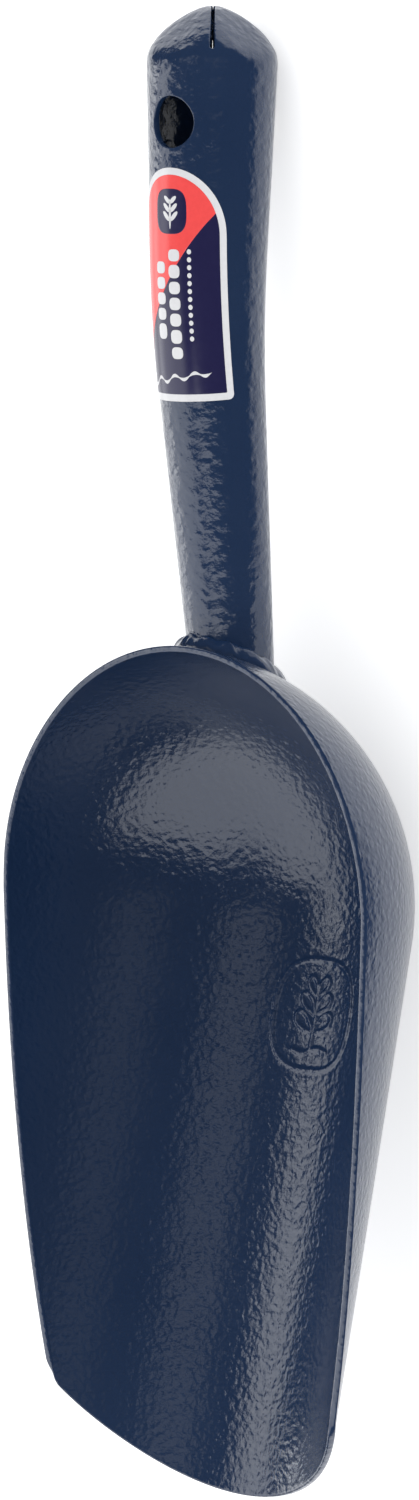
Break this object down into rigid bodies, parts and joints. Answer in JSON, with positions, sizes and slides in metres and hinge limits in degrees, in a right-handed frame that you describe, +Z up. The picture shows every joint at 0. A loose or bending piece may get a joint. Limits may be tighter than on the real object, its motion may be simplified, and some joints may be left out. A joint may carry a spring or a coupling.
{
  "type": "feed scoop",
  "caption": "All-steel feed scoop: deep-drawn trough bowl with a domed back, welded to a tapered, slightly bent tube handle that has a hang hole and a folded, closed end.",
  "frame": {"origin": "middle of the bounding box, on the table that the scoop lies on", "axes": "+Z up from the table, +Y from the mouth towards the end of the handle, +X across the scoop, X = 0 its plane of symmetry; the scoop lies on the underside of its domed back and on the end of its handle"},
  "size_m": [0.1168, 0.3419, 0.064],
  "materials": {
    "bowl_paint": "glossy navy hammertone enamel on steel sheet",
    "handle_paint": "glossy navy hammertone enamel, coarser than in the bowl",
    "weld_paint": "glossy navy enamel flowed over a rippled weld",
    "label_film": "glossy printed film in red, navy and white"
  },
  "bodies": {
    "root": {"bowl": "bowl_paint", "handle": "handle_paint", "weld_bead": "weld_paint", "label": "label_film"}
  },
  "joints": []
}
